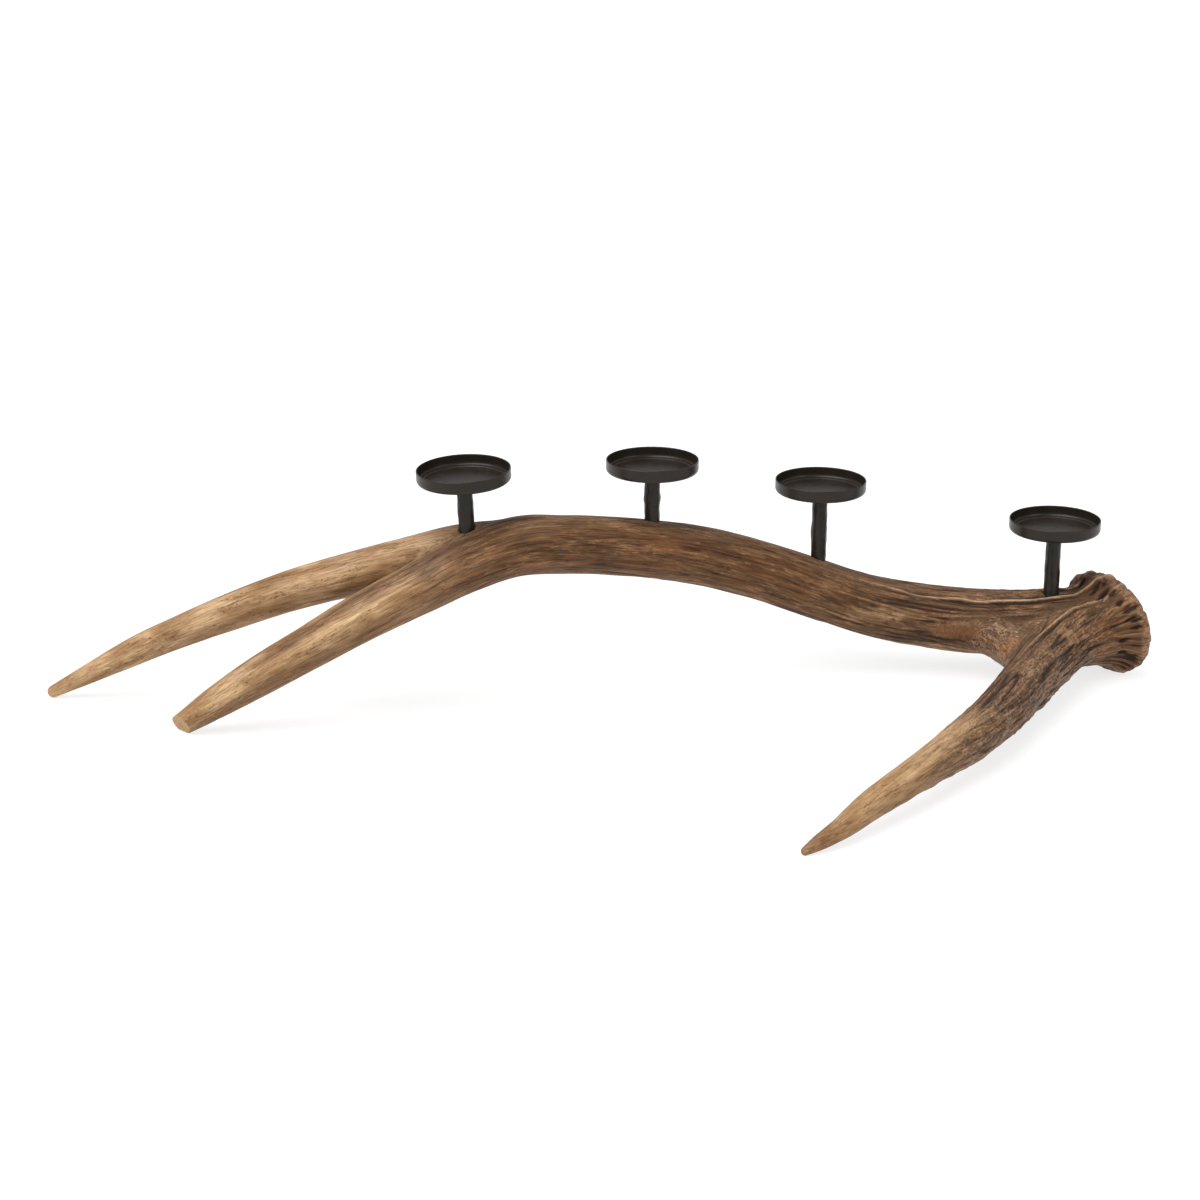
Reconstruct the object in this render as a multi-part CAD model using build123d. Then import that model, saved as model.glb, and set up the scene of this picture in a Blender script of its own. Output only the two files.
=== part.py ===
from build123d import *
import os
from math import sqrt

# A table-top candle holder: one cast antler lying on its tine tips and its burr,
# with four pressed steel candle pans on short posts along the beam.
# +X runs from the tine tips to the burr, +Y away from the viewer, +Z up. Millimetres.

# ---- Antler: centre x, y, z and radius of each cross-section, table at z = 0 ----

# main beam and front tine, from the burr to the sawn-off tip
BEAM_STATIONS = [
    (408, 46, 43.2, 27.7),
    (397, 45, 43.5, 27.5),
    (367, 43, 44, 26.3),
    (325, 41, 44, 27.0),
    (274, 40, 49.5, 26.5),
    (224, 38, 59.5, 25.3),
    (173, 34, 77.5, 24.3),
    (123, 24, 97, 24.2),
    (73, 11, 113, 24.2),
    (24, -6, 124, 23.8),
    (-24, -26, 133, 23.4),
    (-67, -43, 136.5, 23.6),
    (-102, -54, 127.5, 22.2),
    (-140, -65, 110.5, 20.6),
    (-185, -77, 90, 19.2),
    (-226, -86, 68, 17.4),
    (-273, -92, 41.5, 15.2),
    (-305, -95, 22, 12.2),
    (-328, -96, 7.0, 8.9),
]

# rear tine, from inside the beam to its round tip
REAR_TINE_STATIONS = [
    (-32, -28, 132, 20.5),
    (-71, -36, 135, 21.0),
    (-106, -40, 134, 20.1),
    (-150, -40, 124, 19.0),
    (-198, -38, 111.5, 17.7),
    (-247, -34, 96.5, 16.3),
    (-296, -31, 77.5, 14.9),
    (-346, -26, 55.5, 12.6),
    (-397, -22, 30.5, 9.6),
    (-431, -20, 12.5, 6.4),
    (-445, -19, 5, 5.0),
]

# brow tine, from inside the burr to its pointed tip
BROW_TINE_STATIONS = [
    (411, 33, 41, 26.0),
    (388, 14, 37.5, 24.0),
    (361, -27, 34, 22.5),
    (329, -88, 31.5, 21.3),
    (299, -142, 29.5, 18.9),
    (259, -198.5, 27, 15.8),
    (224, -243, 24, 13.0),
    (192.5, -278, 19, 10.8),
    (166, -305, 11, 7.6),
    (149, -317, 5.5, 4.8),
    (143, -320, 3.0, 3.2),
]

# web that rounds out the crotch, bent from inside the beam to inside the brow tine
CROTCH_STATIONS = [
    (291, 29.5, 46, 14.0),
    (310, 25.5, 43, 15.5),
    (325, 16, 39, 16.5),
    (337, 2, 35.5, 16.5),
    (344, -15.5, 33.5, 16.5),
    (345, -35.5, 32.5, 15.5),
    (340, -52.5, 32, 14.0),
]

# filling behind the web, from inside the burr to inside the web
CROTCH_FILL_STATIONS = [
    (402, 31, 41, 22.0),
    (372, 13, 38, 20.0),
    (341, 2, 35.5, 14.5),
]

TIP_BALL_SWELL = 1.04    # tip ball over the last cross-section, so that it closes the end

BURR_OFFSET = (15.0, -2.0, -0.7)    # middle of the beaded rim, from the beam's first cross-section
BURR_AXIS = (0.79, 0.58, 0.20)    # outward, where the antler left the skull
BURR_CORE_RADIUS = 39.0
BURR_WIDTH = 17.0    # rim width along the burr's axis
BURR_NECK_RADIUS = 24.0
BURR_NECK_LENGTH = 34.0    # from the rim's middle down to where the flare starts
BURR_NECK_HOLLOW = 2.0    # how far the flare dips under a straight cone
BURR_DOME = 5.0    # rise of the outer end face
BEAD_COUNT = 13
BEAD_RADIUS = 8.5
BEAD_RING_RADIUS = 36.5

# ---- Cups: foot point on the antler, lean of the post, post length to the pan floor ----

CUP_X = [-104.4, 41.8, 179.8, 373.1]
CUP_Y = [-47.0, 3.0, 39.0, 36.5]
CUP_LEAN_LEFT = [2.0, 0.0, -0.2, 0.4]    # degrees towards -X
CUP_LEAN_FRONT = [2.0, 0.0, 0.0, 0.0]    # degrees towards -Y
CUP_RISE = [38.6, 40.3, 57.2, 55.2]    # antler surface to the underside of the pan

PAN_BORE = 72.0    # inside diameter, for a 70 mm pillar candle
PAN_SHEET = 1.0
PAN_HEIGHT = 10.5    # outside, underside to rim
PAN_CORNER = 2.5    # inside radius from floor to wall

POST_DIAMETER = 12.5
POST_WALL = 1.2
POST_CHAMFER = 0.4
SEAT_DEPTH = 4.0    # counterbore in the antler, measured on the post's axis
SEAT_CLEARANCE = 0.3    # radial, post foot in its counterbore

ROD_DIAMETER = 6.0    # M6 threaded rod
ROD_EMBED = 18.0    # glued length below the counterbore
ROD_TOP_GAP = 1.5    # rod end to the underside of the pan floor
ROD_CHAMFER = 0.6
GLUE_GAP = 0.1    # radial, rod in its drilled hole

NUT_LENGTH = 8.0
NUT_CLEARANCE = 0.3    # radial, weld nut inside the post
THREAD_CLEARANCE = 0.05    # radial, rod in the nut
NUT_CHAMFER = 0.4

LIFT_CLEARANCE = 6.0    # how far a lifted post stands clear of the rod's end

TABLE_CUT = 2000.0    # size of the block that trims the antler flat at the table
MESH_TOLERANCE = 0.05    # for measuring the footprint


# ---- Antler ----

def station_planes(stations):
    """One plane per cross-section, square to the chord between its neighbours."""
    centres = [Vector(x, y, z) for x, y, z, radius in stations]
    planes = []
    for i, centre in enumerate(centres):
        before = centres[max(i - 1, 0)]
        after = centres[min(i + 1, len(centres) - 1)]
        along = (after - before).normalized()
        side = along.cross(Vector(0, 0, 1)).normalized()
        planes.append(Plane(origin=centre, x_dir=side, z_dir=along))
    return planes


def limb(stations):
    """A round limb lofted through its cross-sections."""
    planes = station_planes(stations)
    sections = [plane * Circle(station[3]) for plane, station in zip(planes, stations)]
    return loft(sections)


def round_tip(stations):
    """A ball that closes the end of a tine."""
    x, y, z, radius = stations[-1]
    return Pos(x, y, z) * Sphere(radius * TIP_BALL_SWELL)


def burr():
    """The coronet: a flared neck, a rim of beads and a slightly domed end face."""
    half = BURR_WIDTH / 2
    neck_middle_radius = (BURR_NECK_RADIUS + BURR_CORE_RADIUS) / 2 - BURR_NECK_HOLLOW
    neck_middle = (neck_middle_radius, -(BURR_NECK_LENGTH + half) / 2)
    dome_radius = (BURR_CORE_RADIUS**2 + BURR_DOME**2) / (2 * BURR_DOME)
    dome_fall = dome_radius - sqrt(dome_radius**2 - BURR_CORE_RADIUS**2 / 4)
    dome_middle = (BURR_CORE_RADIUS / 2, half + BURR_DOME - dome_fall)
    outline = [
        Line((0, -BURR_NECK_LENGTH), (BURR_NECK_RADIUS, -BURR_NECK_LENGTH)),
        ThreePointArc(
            (BURR_NECK_RADIUS, -BURR_NECK_LENGTH), neck_middle, (BURR_CORE_RADIUS, -half)
        ),
        Line((BURR_CORE_RADIUS, -half), (BURR_CORE_RADIUS, half)),
        ThreePointArc((BURR_CORE_RADIUS, half), dome_middle, (0, half + BURR_DOME)),
        Line((0, half + BURR_DOME), (0, -BURR_NECK_LENGTH)),
    ]
    profile = Plane.XZ * make_face(outline)
    core = revolve(profile, axis=Axis.Z)
    for i in range(BEAD_COUNT):
        core += Rot(0, 0, 360 * i / BEAD_COUNT) * Pos(BEAD_RING_RADIUS, 0, 0) * Sphere(BEAD_RADIUS)
    x, y, z, radius = BEAM_STATIONS[0]
    middle = Vector(x, y, z) + Vector(*BURR_OFFSET)
    level = Vector(*BURR_AXIS).cross(Vector(0, 0, 1))
    plane = Plane(origin=middle, x_dir=level, z_dir=BURR_AXIS)
    return plane.location * Rot(0, 0, 90) * core


def antler_blank():
    """The undrilled casting, trimmed flat where it touches the table."""
    blank = limb(BEAM_STATIONS)
    for stations in (REAR_TINE_STATIONS, BROW_TINE_STATIONS):
        blank += limb(stations) + round_tip(stations)
    blank += limb(CROTCH_STATIONS) + limb(CROTCH_FILL_STATIONS)
    blank += burr()
    return blank - Pos(0, 0, -TABLE_CUT / 2) * Box(TABLE_CUT, TABLE_CUT, TABLE_CUT)


# ---- Cups: each is drawn upright with the post's foot at its own origin ----

UPWARDS = (Align.CENTER, Align.CENTER, Align.MIN)
DOWNWARDS = (Align.CENTER, Align.CENTER, Align.MAX)


def surface_height(blank, x, y):
    """Highest point of the antler above a place on the table."""
    probe = Axis((x, y, 0), (0, 0, 1))
    hits = [point for face in blank.faces() for point, normal in face.find_intersection_points(probe)]
    return max(point.Z for point in hits)


def cup_location(blank, index):
    """Where the post's foot stands, turned so that its own Z is the post's axis."""
    x = CUP_X[index]
    y = CUP_Y[index]
    top = Location((x, y, surface_height(blank, x, y)))
    lean = Location((0, 0, 0), (CUP_LEAN_FRONT[index], -CUP_LEAN_LEFT[index], 0))
    return top * lean * Pos(0, 0, -SEAT_DEPTH)


def post_length(index):
    return CUP_RISE[index] + SEAT_DEPTH


def rod_top(index):
    return post_length(index) - ROD_TOP_GAP


def seat_cutter(index):
    """The counterbore for the post's foot and the drilled hole for the rod."""
    seat_radius = POST_DIAMETER / 2 + SEAT_CLEARANCE
    hole_radius = ROD_DIAMETER / 2 + GLUE_GAP
    seat = Cylinder(seat_radius, post_length(index), align=UPWARDS)
    return seat + Cylinder(hole_radius, ROD_EMBED, align=DOWNWARDS)


def post(index):
    """A steel tube; its hammering is shallower than its wall and is left smooth here."""
    tube = Cylinder(POST_DIAMETER / 2, post_length(index), align=UPWARDS)
    tube -= Cylinder(POST_DIAMETER / 2 - POST_WALL, post_length(index), align=UPWARDS)
    outer_rims = tube.edges().filter_by(GeomType.CIRCLE).group_by(SortBy.RADIUS)[-1]
    return chamfer(outer_rims, POST_CHAMFER)


def threaded_rod(index):
    """The rod at its thread's outside diameter, from its hole's floor into the nut."""
    rod = Pos(0, 0, -ROD_EMBED) * Cylinder(ROD_DIAMETER / 2, ROD_EMBED + rod_top(index), align=UPWARDS)
    return chamfer(rod.edges().filter_by(GeomType.CIRCLE), ROD_CHAMFER)


def pan_nut(index):
    """A round weld nut under the pan floor, inside the top of the post."""
    nut_radius = POST_DIAMETER / 2 - POST_WALL - NUT_CLEARANCE
    nut = Cylinder(nut_radius, NUT_LENGTH, align=DOWNWARDS)
    nut = chamfer(nut.edges().filter_by(GeomType.CIRCLE).sort_by(Axis.Z)[0], NUT_CHAMFER)
    nut -= Cylinder(ROD_DIAMETER / 2 + THREAD_CLEARANCE, NUT_LENGTH, align=DOWNWARDS)
    return Pos(0, 0, post_length(index)) * nut


def pan(index):
    """A shallow pan pressed from sheet, its floor resting on the post's top."""
    outside = Cylinder(PAN_BORE / 2 + PAN_SHEET, PAN_HEIGHT, align=UPWARDS)
    outside = fillet(outside.edges().sort_by(Axis.Z)[0], PAN_CORNER + PAN_SHEET)
    inside = Pos(0, 0, PAN_SHEET) * Cylinder(PAN_BORE / 2, PAN_HEIGHT, align=UPWARDS)
    inside = fillet(inside.edges().sort_by(Axis.Z)[0], PAN_CORNER)
    return Pos(0, 0, post_length(index)) * (outside - inside)


# ---- Assembly ----

def assemble():
    """Every piece by name, and where each cup stands, before the origin is moved."""
    blank = antler_blank()
    places = [cup_location(blank, index) for index in range(len(CUP_X))]
    for index, place in enumerate(places):
        blank -= place * seat_cutter(index)
    pieces = {"antler": blank}
    for index, place in enumerate(places):
        number = index + 1
        pieces[f"post_{number}"] = place * post(index)
        pieces[f"threaded_rod_{number}"] = place * threaded_rod(index)
        pieces[f"pan_nut_{number}"] = place * pan_nut(index)
        pieces[f"pan_{number}"] = place * pan(index)
    return pieces, places


def origin_shift(pieces):
    """Moves the middle of the holder's footprint to the origin, with the table at z = 0."""
    points = []
    for piece in pieces.values():
        points += piece.tessellate(MESH_TOLERANCE)[0]
    xs = [point.X for point in points]
    ys = [point.Y for point in points]
    return Location((-(min(xs) + max(xs)) / 2, -(min(ys) + max(ys)) / 2, 0))


pieces, places = assemble()
shift = origin_shift(pieces)
os.makedirs("parts", exist_ok=True)
for name, piece in pieces.items():
    export_step(shift * piece, f"parts/{name}.step")

for index, place in enumerate(places):
    foot = shift * place
    print("cup", index + 1, "foot", foot.position, "axis", Plane(foot).z_dir, "lift",
          rod_top(index) + LIFT_CLEARANCE)
print("origin shift", shift.position)
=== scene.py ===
from functools import partial, reduce
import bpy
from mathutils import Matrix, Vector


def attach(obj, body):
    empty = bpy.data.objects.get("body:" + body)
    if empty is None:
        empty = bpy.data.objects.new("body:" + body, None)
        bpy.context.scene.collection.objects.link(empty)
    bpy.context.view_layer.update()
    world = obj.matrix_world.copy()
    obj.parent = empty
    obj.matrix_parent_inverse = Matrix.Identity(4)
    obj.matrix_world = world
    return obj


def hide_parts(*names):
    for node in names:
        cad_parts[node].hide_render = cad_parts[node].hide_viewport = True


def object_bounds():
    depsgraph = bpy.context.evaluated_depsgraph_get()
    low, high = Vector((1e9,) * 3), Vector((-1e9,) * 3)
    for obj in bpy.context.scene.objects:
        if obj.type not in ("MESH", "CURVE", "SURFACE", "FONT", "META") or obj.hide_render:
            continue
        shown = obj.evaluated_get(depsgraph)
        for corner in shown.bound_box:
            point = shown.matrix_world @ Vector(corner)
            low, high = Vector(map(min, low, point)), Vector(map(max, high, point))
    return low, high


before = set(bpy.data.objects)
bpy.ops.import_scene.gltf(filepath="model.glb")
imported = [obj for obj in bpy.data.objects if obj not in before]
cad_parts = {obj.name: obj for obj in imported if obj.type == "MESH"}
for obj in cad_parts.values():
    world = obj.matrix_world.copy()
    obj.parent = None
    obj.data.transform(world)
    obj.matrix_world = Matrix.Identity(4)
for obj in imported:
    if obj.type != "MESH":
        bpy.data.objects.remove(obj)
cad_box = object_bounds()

from types import SimpleNamespace

import bpy
import numpy as np
from mathutils import Vector

# ==== Antler ====
# One casting in polyester resin, taken from a real shed antler. It is wiped with brown stain, which stays in the
# grooves, and rubbed back on ridges and tips. It lies on its tine tips and its burr, and is drilled for the posts.

MM = 0.001
TO_PART = np.array([-1.7272, 120.55, 0.0])    # from the drawing's origin to the middle of the footprint, mm

# centre x, y, z and radius of each cross-section, mm, from the burr outwards
BEAM_AND_FRONT_TINE = [
    (408, 46, 43.2, 27.7), (397, 45, 43.5, 27.5), (367, 43, 44, 26.3), (325, 41, 44, 27.0), (274, 40, 49.5, 26.5),
    (224, 38, 59.5, 25.3), (173, 34, 77.5, 24.3), (123, 24, 97, 24.2), (73, 11, 113, 24.2), (24, -6, 124, 23.8),
    (-24, -26, 133, 23.4), (-67, -43, 136.5, 23.6), (-102, -54, 127.5, 22.2), (-140, -65, 110.5, 20.6),
    (-185, -77, 90, 19.2), (-226, -86, 68, 17.4), (-273, -92, 41.5, 15.2), (-305, -95, 22, 12.2), (-328, -96, 7.0, 8.9),
]
REAR_TINE = [
    (-32, -28, 132, 20.5), (-71, -36, 135, 21.0), (-106, -40, 134, 20.1), (-150, -40, 124, 19.0),
    (-198, -38, 111.5, 17.7), (-247, -34, 96.5, 16.3), (-296, -31, 77.5, 14.9), (-346, -26, 55.5, 12.6),
    (-397, -22, 30.5, 9.6), (-431, -20, 12.5, 6.4), (-445, -19, 5, 5.0),
]
BROW_TINE = [
    (411, 33, 41, 26.0), (388, 14, 37.5, 24.0), (361, -27, 34, 22.5), (329, -88, 31.5, 21.3),
    (299, -142, 29.5, 18.9), (259, -198.5, 27, 15.8), (224, -243, 24, 13.0), (192.5, -278, 19, 10.8),
    (166, -305, 11, 7.6), (149, -317, 5.5, 4.8), (143, -320, 3.0, 3.2),
]
# the web rounds out the crotch from the beam to the brow tine, and the filling lies behind it
CROTCH_WEB = [
    (291, 29.5, 46, 14.0), (310, 25.5, 43, 15.5), (325, 16, 39, 16.5), (337, 2, 35.5, 16.5), (344, -15.5, 33.5, 16.5),
    (345, -35.5, 32.5, 15.5), (340, -52.5, 32, 14.0),
]
CROTCH_FILLING = [(402, 31, 41, 22.0), (372, 13, 38, 20.0), (341, 2, 35.5, 14.5)]


def smooth_curve(knots, values, at):
    """Values at places between the knots: cubic curves through them, each with the slope of its neighbours."""
    slopes = np.gradient(values, knots, axis=0)
    i = np.clip(np.searchsorted(knots, at, side="right") - 1, 0, len(knots) - 2)
    width = (knots[i + 1] - knots[i])[:, None]
    u = (at - knots[i])[:, None] / width
    return ((2 * u**3 - 3 * u**2 + 1) * values[i] + (u**3 - 2 * u**2 + u) * width * slopes[i]
            + (3 * u**2 - 2 * u**3) * values[i + 1] + (u**3 - u**2) * width * slopes[i + 1])


def distance_along(points):
    """How far each point lies along the straight lines that join them."""
    return np.concatenate([[0], np.cumsum(np.linalg.norm(np.diff(points, axis=0), axis=1))])


def limb_line(stations, step, first=1.0):
    """The centre line of a limb: a smooth curve through the stations. Its steps start at first times the mean step and
    grow evenly. Along is the line's direction, side is along x world up, which is level, and up is side x along."""
    stations = np.array(stations, float)
    stations[:, :3] += TO_PART
    knots = distance_along(stations[:, :3])
    even = np.linspace(0, 1, int(knots[-1] / step) + 1)
    length = knots[-1] * (first * even + (1 - first) * even**2)
    curve = smooth_curve(knots, stations, length)
    along = np.gradient(curve[:, :3], axis=0)
    along /= np.linalg.norm(along, axis=1, keepdims=True)
    side = np.cross(along, [0, 0, 1])
    side /= np.linalg.norm(side, axis=1, keepdims=True)
    return SimpleNamespace(step=length[1], centre=curve[:, :3], radius=curve[:, 3], along=along, side=side,
                           up=np.cross(side, along))


def ring_points(centre, radius, up, side, segments):
    """Rings of points, centre + radius (cos a up + sin a side), as an array of ring, segment, xyz. Up and side are
    given for each ring, or once."""
    angle = np.linspace(0, 2 * np.pi, segments, endpoint=False)[None, :, None]
    return centre[:, None] + radius[:, None, None] * (np.cos(angle) * up[:, None] + np.sin(angle) * side[:, None])


def tube_rings(line, segments, sawn=False):
    """The rings of a limb and its two poles. A sawn tip has a small bevel and a flat face of shrinking rings. A round
    tip goes on for a quarter turn, in which the radius falls as the cosine and the centre moves on as the sine."""
    turn = np.radians([38, 70, 90, 90, 90, 90]) if sawn else np.radians(np.arange(12, 90, 13))
    shrink = np.array([1, 1, 0.97, 0.84, 0.6, 0.3]) if sawn else np.ones(len(turn))
    reach = 0.9 if sawn else line.radius[-1]
    last = np.full(len(turn), -1)
    centre = np.concatenate([line.centre, line.centre[last] + line.along[last] * reach * np.sin(turn)[:, None]])
    radius = np.concatenate([line.radius, shrink * (line.radius[-1] - reach * (1 - np.cos(turn)))])
    up = np.concatenate([line.up, line.up[last]])
    side = np.concatenate([line.side, line.side[last]])
    poles = line.centre[0], line.centre[-1] + line.along[-1] * reach
    return ring_points(centre, radius, up, side, segments), poles


def ring_quads(rings, joined=False):
    """Quads between neighbouring rings of points, and from the last ring to the first where they are joined."""
    count, segments = rings.shape[:2]
    low = (np.arange(count if joined else count - 1) * segments)[:, None]
    high = (low + segments) % (count * segments)
    here = np.arange(segments)
    after = (here + 1) % segments
    return np.stack([low + here, low + after, high + after, high + here], axis=-1).reshape(-1, 4).tolist()


def new_object(name, points, faces):
    """An object in the scene, from its points in millimetres and its faces."""
    mesh = bpy.data.meshes.new(name)
    mesh.from_pydata(points.tolist(), [], faces)
    made = bpy.data.objects.new(name, mesh)
    bpy.context.scene.collection.objects.link(made)
    return made


def closed_mesh(name, rings, poles):
    """A closed object in millimetres: quads between rings of points, and a fan of triangles to the pole at each end."""
    count, segments = rings.shape[:2]
    here = np.arange(segments)
    after = (here + 1) % segments
    end = (count - 1) * segments
    first_fan = np.stack([np.full(segments, count * segments), after, here], axis=-1)
    last_fan = np.stack([np.full(segments, count * segments + 1), end + here, end + after], axis=-1)
    points = np.concatenate([rings.reshape(-1, 3), poles])
    return new_object(name, points, ring_quads(rings) + first_fan.tolist() + last_fan.tolist())


def combine(target, other, operation):
    """Joins or cuts target with a second closed mesh, which is then removed."""
    change = target.modifiers.new(operation, "BOOLEAN")
    change.operation = operation
    change.solver = "MANIFOLD"
    change.object = other
    graph = bpy.context.evaluated_depsgraph_get()
    result = bpy.data.meshes.new_from_object(target.evaluated_get(graph))
    target.modifiers.clear()
    target.data = result
    bpy.data.objects.remove(other)


def read_points(mesh):
    """The mesh's points as an array."""
    flat = np.empty(len(mesh.vertices) * 3, np.float32)
    mesh.vertices.foreach_get("co", flat)
    return flat.reshape(-1, 3).astype(float)


def write_points(mesh, points):
    """Puts an array of points back into the mesh."""
    mesh.vertices.foreach_set("co", points.ravel().astype(np.float32))


# The burr is turned round the axis on which the antler sat on the skull.
BURR_CENTRE = np.array([423, 44, 42.5]) + TO_PART
BURR_AXIS = np.array([0.79, 0.58, 0.20]) / np.linalg.norm([0.79, 0.58, 0.20])
BURR_SIDE = np.cross(BURR_AXIS, [0, 0, 1]) / np.linalg.norm(np.cross(BURR_AXIS, [0, 0, 1]))
BURR_UP = np.cross(BURR_SIDE, BURR_AXIS)
# distance along the axis from the rim's middle, and radius there, mm
BURR_OUTLINE = np.array([
    (-41, 12), (-39.5, 21), (-34, 24), (-27.5, 26.3), (-21.3, 29.5), (-15.5, 33.2), (-11, 37.0), (-7.4, 40.9),
    (-4.2, 43.8), (0, 44.9), (4.2, 43.8), (7.4, 40.6), (8.6, 36.5), (9.3, 31), (10.6, 23), (12.4, 12), (13.2, 5),
])


def smooth_outline(outline, step):
    """Points a step apart on a smooth curve through the corners of an outline."""
    knots = distance_along(outline)
    return smooth_curve(knots, outline, np.linspace(0, knots[-1], int(knots[-1] / step) + 1))


burr_outline = smooth_outline(BURR_OUTLINE, 1.35)
burr_centres = BURR_CENTRE + burr_outline[:, :1] * BURR_AXIS
burr_rings = ring_points(burr_centres, burr_outline[:, 1], BURR_UP[None], BURR_SIDE[None], 296)
burr_poles = BURR_CENTRE - 41.5 * BURR_AXIS, BURR_CENTRE + 13.5 * BURR_AXIS

# Each limb gives its mean ring spacing in mm, the share of it at the thick end, and the points in a ring.
antler = closed_mesh("antler_casting", *tube_rings(limb_line(BEAM_AND_FRONT_TINE, 2.95, 0.72), 166, sawn=True))
combine(antler, closed_mesh("rear_tine", *tube_rings(limb_line(REAR_TINE, 3.6), 104)), "UNION")
combine(antler, closed_mesh("crotch_filling", *tube_rings(limb_line(CROTCH_FILLING, 2.2), 96)), "UNION")
combine(antler, closed_mesh("crotch_web", *tube_rings(limb_line(CROTCH_WEB, 1.5), 96)), "UNION")
combine(antler, closed_mesh("brow_tine", *tube_rings(limb_line(BROW_TINE, 2.4, 0.75), 138)), "UNION")
combine(antler, closed_mesh("burr", burr_rings, burr_poles), "UNION")

# The lines that the surface is measured from, and the beam's length at which the rear tine's grain begins.
LINE_STEP = 2.0
beam_line, rear_line, brow_line, web_line, filling_line = [
    limb_line(stations, LINE_STEP) for stations in (BEAM_AND_FRONT_TINE, REAR_TINE, BROW_TINE, CROTCH_WEB,
                                                    CROTCH_FILLING)]
REAR_TINE_START = 460.0
BLOCK = 20000    # points measured at a time


def place_on_limb(points, line):
    """Where points lie on a limb: it is taken as a row of balls, and a point belongs to the ball whose skin it is
    deepest in or nearest to. Gives the distance from the skin, the length along, the angle round, the outward
    direction and the radius."""
    nearest = np.empty(len(points), int)
    for start in range(0, len(points), BLOCK):
        block = points[start:start + BLOCK].astype(np.float32)
        centre = line.centre.astype(np.float32)
        square = (block**2).sum(1)[:, None] + (centre**2).sum(1)[None] - 2 * block @ centre.T
        nearest[start:start + BLOCK] = np.argmin(np.sqrt(np.maximum(square, 0)) - line.radius[None], axis=1)
    past = np.einsum("ij,ij->i", points - line.centre[nearest], line.along[nearest])
    ends = (nearest == 0) | (nearest == len(line.centre) - 1)
    past = np.where(ends, 0, np.clip(past, -line.step, line.step))
    exact = np.clip(nearest + past / line.step, 0, len(line.centre) - 1.001)
    i = exact.astype(int)
    part = (exact - i)[:, None]
    centre, up, side = [v[i] * (1 - part) + v[i + 1] * part for v in (line.centre, line.up, line.side)]
    radius = line.radius[i] * (1 - part[:, 0]) + line.radius[i + 1] * part[:, 0]
    away = points - centre
    reach = np.linalg.norm(away, axis=1)
    angle = np.arctan2(np.einsum("ij,ij->i", away, side), np.einsum("ij,ij->i", away, up))
    return SimpleNamespace(gap=reach - radius, length=exact * line.step, angle=angle,
                           out=away / np.maximum(reach, 1e-6)[:, None], radius=radius)


def place_on_burr(points):
    """Where points lie on the burr: length along its axis, angle round it, distance from its outline."""
    away = points - BURR_CENTRE
    along = away @ BURR_AXIS
    across = away - along[:, None] * BURR_AXIS
    reach = np.linalg.norm(across, axis=1)
    flare = burr_outline[:np.argmax(burr_outline[:, 0] > 8.0)]
    radius = np.interp(along, flare[:, 0], flare[:, 1])
    slope = np.interp(along, flare[:, 0], np.gradient(flare[:, 1], flare[:, 0]))
    slope = np.where(along > 3, 0, np.clip(slope, 0, 2))
    level = 1 / np.sqrt(1 + slope**2)
    side_out = (across / np.maximum(reach, 1e-6)[:, None] - slope[:, None] * BURR_AXIS) * level[:, None]
    face_at = np.interp(reach, burr_outline[::-1, 1], burr_outline[::-1, 0])
    on_face = (along > 7.5) & (along - face_at > -2.0) & (reach < 40)
    gap = np.where(on_face, along - face_at, (reach - radius) * level)
    out = np.where(on_face[:, None], BURR_AXIS, side_out)
    return SimpleNamespace(gap=np.where(along < -40, 30, gap), length=along, reach=reach, out=out,
                           angle=np.arctan2(across @ BURR_SIDE, across @ BURR_UP), on_face=on_face)


FILLETS = [3.0, 15.0, 10.0, 10.0, 8.0]    # mm, how near each further part comes before the hollow begins to fill


def blend_gaps(places):
    """The smooth union of the skins, part by part: the smaller distance, less h^2 fillet / 4, where h falls from 1 to 0
    as the two distances part by the fillet. Each skin's share in the outward direction falls off with its distance."""
    gap = places[0].gap
    for place, fillet in zip(places[1:], FILLETS):
        h = np.maximum(fillet - np.abs(gap - place.gap), 0) / fillet
        gap = np.minimum(gap, place.gap) - h**2 * fillet / 4
    least = np.min([place.gap for place in places], axis=0)
    shares = np.array([np.exp(-(place.gap - least) / 1.6) for place in places])
    shares /= shares.sum(0)
    out = sum(share[:, None] * place.out for share, place in zip(shares, places))
    return gap, out / np.linalg.norm(out, axis=1, keepdims=True), shares


def place_on_antler(points):
    """Where points lie on each part of the antler: beam, rear tine, brow tine, web, filling and burr."""
    lines = (beam_line, rear_line, brow_line, web_line, filling_line)
    return [place_on_limb(points, line) for line in lines] + [place_on_burr(points)]


SAW_LEAN = 0.8    # mm along the tine for each mm across it


def on_saw_cut(points, lean=0.0):
    """Which points are on the front tine's flat sawn end, square to the tine or with a lean."""
    away = points - beam_line.centre[-1]
    return (away @ (beam_line.along[-1] - lean * beam_line.side[-1]) > 0.1) & (np.linalg.norm(away, axis=1) < 13)


def lean_saw_cut(points):
    """The cut was sawn askew: the last 20 mm of the front tine slide along it, by the lean times the place across."""
    away = points - beam_line.centre[-1]
    along = away @ beam_line.along[-1]
    across = away @ beam_line.side[-1]
    slide = SAW_LEAN * across * np.clip((along + 20) / 20, 0, 1) * (np.linalg.norm(away, axis=1) < 30)
    return points + slide[:, None] * beam_line.along[-1]


# the joined tubes are drawn onto the smooth union in three steps of 3 mm at most
points = read_points(antler.data)
for _ in range(3):
    gap, out, _ = blend_gaps(place_on_antler(points))
    gap[on_saw_cut(points)] = 0
    points -= np.clip(gap, -3, 3)[:, None] * out

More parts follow.
